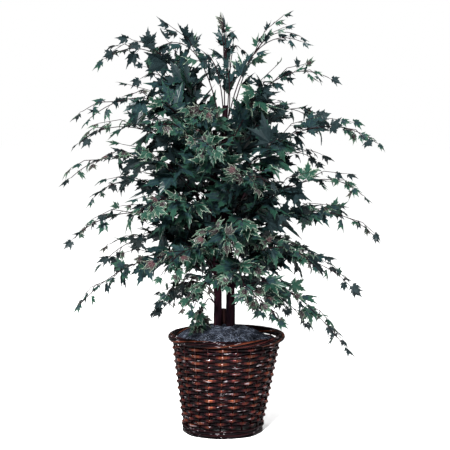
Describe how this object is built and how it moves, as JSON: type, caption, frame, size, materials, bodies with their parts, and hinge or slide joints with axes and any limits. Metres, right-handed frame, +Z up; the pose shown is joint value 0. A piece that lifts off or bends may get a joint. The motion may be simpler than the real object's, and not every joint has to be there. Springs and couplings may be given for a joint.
{
  "type": "artificial maple tree in basket",
  "caption": "Artificial maple tree with natural wood stems and arching sprays of dark green leaves, in a reddish-brown wicker basket topped with moss.",
  "frame": {"origin": "middle of the basket's flat underside", "axes": "+Z up along the stems, +X to the right and -Y towards the front"},
  "size_m": [0.9216, 0.8472, 1.2191],
  "materials": {
    "wicker": "glossy dark reddish-brown varnish",
    "plaster": "matte dark",
    "moss": "matte fibrous",
    "bark": "stained natural bark, satin",
    "leaf": "matte cloth"
  },
  "bodies": {
    "root": {"basket_body": "wicker", "basket_rim": "wicker", "planting_block": "plaster", "moss": "moss", "trunk_left": "bark", "trunk_right": "bark", "trunk_stub": "bark", "spray_01_right": "leaf", "spray_01_back": "leaf", "spray_01_left": "leaf", "spray_01_front": "leaf", "spray_02_right": "leaf", "spray_02_back": "leaf", "spray_02_left": "leaf", "spray_02_front": "leaf", "spray_03_right": "leaf", "spray_03_back": "leaf", "spray_03_left": "leaf", "spray_03_front": "leaf", "spray_04_right": "leaf", "spray_04_back": "leaf", "spray_04_left": "leaf", "spray_04_front": "leaf", "spray_05_right": "leaf", "spray_05_back": "leaf", "spray_05_left": "leaf", "spray_05_front": "leaf", "spray_06_right": "leaf", "spray_06_back": "leaf", "spray_06_left": "leaf", "spray_06_front": "leaf", "spray_07_right": "leaf", "spray_07_back": "leaf", "spray_07_left": "leaf", "spray_07_front": "leaf", "spray_08_right": "leaf", "spray_08_back": "leaf", "spray_08_left": "leaf", "spray_08_front": "leaf", "spray_09_right": "leaf", "spray_09_back": "leaf", "spray_09_left": "leaf", "spray_09_front": "leaf", "spray_10_right": "leaf", "spray_10_back": "leaf", "spray_10_left": "leaf", "spray_10_front": "leaf", "spray_top_1": "leaf", "spray_top_2": "leaf", "spray_top_3": "leaf", "spray_top_4": "leaf", "spray_top_5": "leaf", "spray_top_6": "leaf", "spray_top_7": "leaf"}
  },
  "joints": []
}
